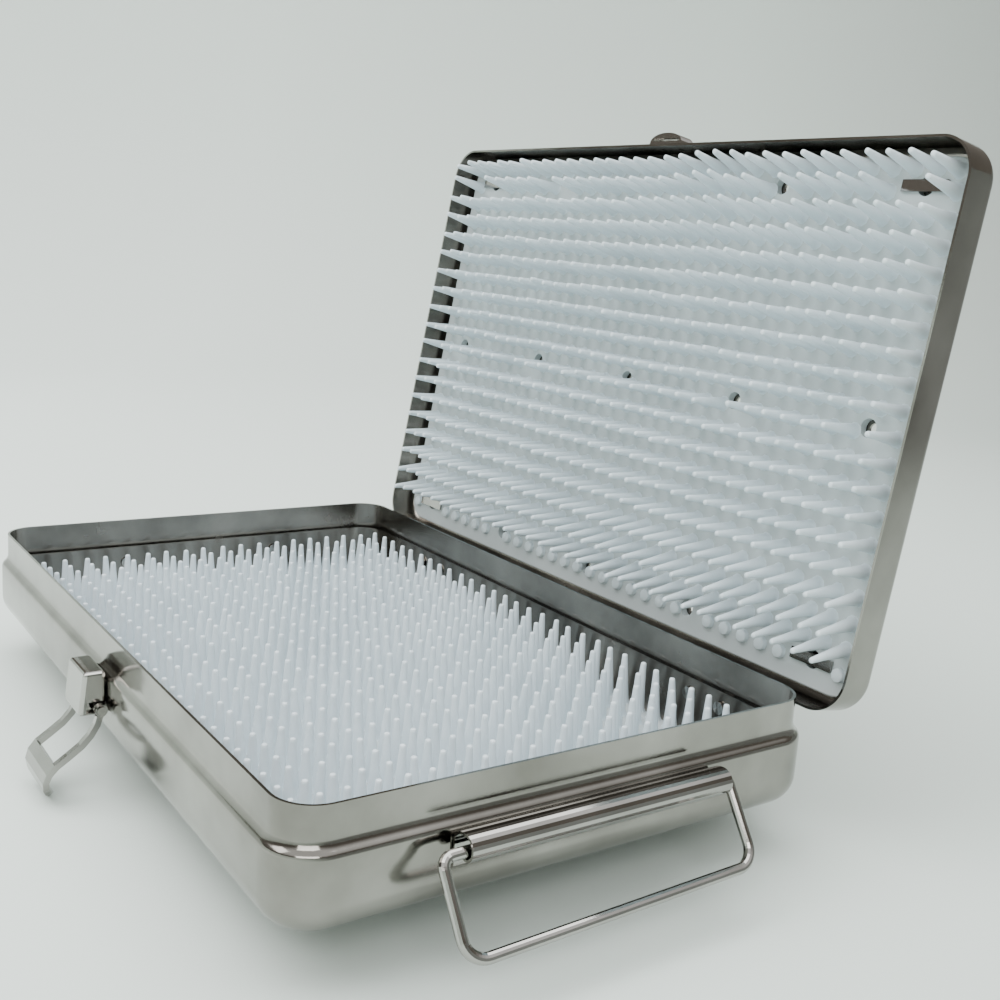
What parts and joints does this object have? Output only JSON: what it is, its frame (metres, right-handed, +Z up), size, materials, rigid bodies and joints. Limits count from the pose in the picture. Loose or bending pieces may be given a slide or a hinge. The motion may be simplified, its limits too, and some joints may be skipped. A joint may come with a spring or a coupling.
{
  "type": "hinged instrument sterilisation case",
  "caption": "Shallow steel instrument case, lid open on rear hinges, silicone finger mats in base and lid, swing handles on both ends and a snap-over latch.",
  "frame": {"origin": "centre of the underside of the base", "axes": "+Z up, +X towards one carrying handle, +Y towards the hinges"},
  "size_m": [0.3048, 0.2301, 0.2071],
  "materials": {
    "sheet_steel": "satin",
    "polished_steel": "polished",
    "silicone": "translucent matt"
  },
  "bodies": {
    "base": {"base_tray": "sheet_steel", "base_mat": "silicone", "handle_left_bracket": "polished_steel", "handle_right_bracket": "polished_steel", "handle_left_rivet_a": "polished_steel", "handle_left_rivet_b": "polished_steel", "handle_right_rivet_a": "polished_steel", "handle_right_rivet_b": "polished_steel", "hinge_left_base_leaf": "sheet_steel", "hinge_right_base_leaf": "sheet_steel", "hinge_left_base_rivet_a": "polished_steel", "hinge_left_base_rivet_b": "polished_steel", "hinge_right_base_rivet_a": "polished_steel", "hinge_right_base_rivet_b": "polished_steel", "hinge_left_pin": "polished_steel", "hinge_right_pin": "polished_steel", "latch_box": "polished_steel", "latch_box_rivet_a": "polished_steel", "latch_box_rivet_b": "polished_steel", "latch_pin": "polished_steel"},
    "lid": {"lid_pan": "sheet_steel", "lid_mat": "silicone", "mat_fastener_1": "polished_steel", "mat_fastener_2": "polished_steel", "mat_fastener_3": "polished_steel", "mat_fastener_4": "polished_steel", "hinge_left_lid_leaf": "sheet_steel", "hinge_right_lid_leaf": "sheet_steel", "hinge_left_lid_rivet_a": "polished_steel", "hinge_left_lid_rivet_b": "polished_steel", "hinge_right_lid_rivet_a": "polished_steel", "hinge_right_lid_rivet_b": "polished_steel", "latch_keeper": "polished_steel", "latch_keeper_rivet_a": "polished_steel", "latch_keeper_rivet_b": "polished_steel"},
    "bail_left": {"handle_left_bail": "polished_steel"},
    "bail_right": {"handle_right_bail": "polished_steel"},
    "lever": {"latch_lever": "polished_steel"}
  },
  "joints": [
    {"name": "lid_hinge", "type": "hinge", "parent": "base", "child": "lid", "pos_m": [0, 0.08633, 0.0215], "axis": [1, 0, 0], "range_deg": [0, 99.5]},
    {"name": "handle_left_pivot", "type": "hinge", "parent": "base", "child": "bail_left", "pos_m": [-0.138, -0.0026, 0.0182], "axis": [0, 1, 0], "range_deg": [0, 100]},
    {"name": "handle_right_pivot", "type": "hinge", "parent": "base", "child": "bail_right", "pos_m": [0.138, -0.0026, 0.0182], "axis": [0, -1, 0], "range_deg": [0, 100]},
    {"name": "latch_pivot", "type": "hinge", "parent": "base", "child": "lever", "pos_m": [0.003, -0.0846, 0.0124], "axis": [-1, 0, 0], "range_deg": [0, 137]}
  ]
}
